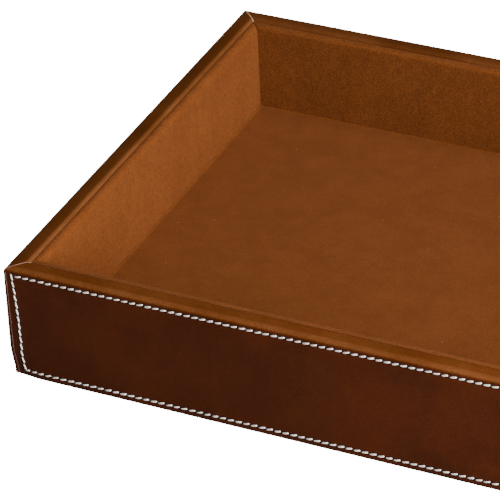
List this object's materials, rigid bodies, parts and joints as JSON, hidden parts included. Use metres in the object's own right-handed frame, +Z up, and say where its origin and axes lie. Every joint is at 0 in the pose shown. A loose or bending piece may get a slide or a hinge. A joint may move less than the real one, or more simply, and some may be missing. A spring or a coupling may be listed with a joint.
{
  "type": "letter tray",
  "caption": "Open rectangular desk tray for letter paper: a leather-covered wooden box with contrast lockstitch, suede lining and a felt underside.",
  "frame": {"origin": "middle of the underside, on the surface that the tray stands on", "axes": "+X along the length, +Y from the front wall to the back wall, +Z up"},
  "size_m": [0.344, 0.268, 0.0622],
  "materials": {
    "leather": "smooth, lightly waxed",
    "suede": "napped",
    "floor_suede": "napped",
    "thread": "waxed thread",
    "wood": "sanded fibreboard",
    "backing_card": "bonded fibre sheet",
    "lining_card": "grey board",
    "brads": "plain wire",
    "felt": "pressed felt"
  },
  "bodies": {
    "root": {"front_core": "wood", "front_backing": "backing_card", "front_leather": "leather", "front_stitching": "thread", "front_lining_board": "lining_card", "front_lining": "suede", "right_core": "wood", "right_backing": "backing_card", "right_leather": "leather", "right_stitching": "thread", "right_lining_board": "lining_card", "right_lining": "suede", "back_core": "wood", "back_backing": "backing_card", "back_leather": "leather", "back_stitching": "thread", "back_lining_board": "lining_card", "back_lining": "suede", "left_core": "wood", "left_backing": "backing_card", "left_leather": "leather", "left_stitching": "thread", "left_lining_board": "lining_card", "left_lining": "suede", "base_board": "wood", "corner_brads": "brads", "base_brads": "brads", "floor_card": "lining_card", "floor_lining": "floor_suede", "underside_infill": "backing_card", "underside_felt": "felt"}
  },
  "joints": []
}
